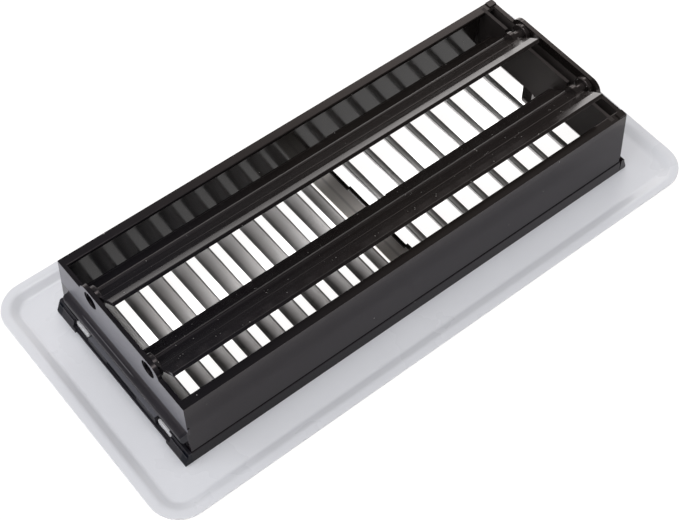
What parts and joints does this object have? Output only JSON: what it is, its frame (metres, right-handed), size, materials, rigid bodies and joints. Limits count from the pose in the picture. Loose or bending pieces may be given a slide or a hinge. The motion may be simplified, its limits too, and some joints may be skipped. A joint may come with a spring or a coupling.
{
  "type": "floor register",
  "caption": "Drop-in floor register: white sheet-metal grille plate with curled louvre fins, black plastic damper box behind it and linked tilting damper blades worked by a lever.",
  "frame": {"origin": "centre of the grille plate on its face plane; the register lies face down, so the face is at the bottom", "axes": "+X along the plate towards the lever end, +Y across the plate, +Z from the face towards the duct side"},
  "size_m": [0.2934, 0.1382, 0.0509],
  "materials": {
    "white_enamel": "satin white enamel on steel sheet",
    "black_plastic": "glossy moulded black plastic"
  },
  "bodies": {
    "frame": {"faceplate": "white_enamel", "damper_box": "black_plastic"},
    "far_damper": {"far_blade": "black_plastic"},
    "near_damper": {"near_blade": "black_plastic"},
    "lever": {"lever_link": "black_plastic"}
  },
  "joints": [
    {"name": "far_blade_tilt", "type": "hinge", "parent": "frame", "child": "far_damper", "pos_m": [0, 0.0206, 0.0377], "axis": [-1, 0, 0], "range_deg": [-32, 50]},
    {"name": "near_blade_tilt", "type": "hinge", "parent": "frame", "child": "near_damper", "pos_m": [0, -0.0206, 0.0377], "axis": [-1, 0, 0], "range_deg": [-32, 50]},
    {"name": "lever_link_pivot", "type": "hinge", "parent": "far_damper", "child": "lever", "pos_m": [0.1151, 0.02193, 0.02931], "axis": [-1, 0, 0], "range_deg": [-50, 32]}
  ],
  "couplings": [
    {"joint": "near_blade_tilt", "follows": "far_blade_tilt", "ratio": 1},
    {"joint": "lever_link_pivot", "follows": "far_blade_tilt", "ratio": -1}
  ]
}
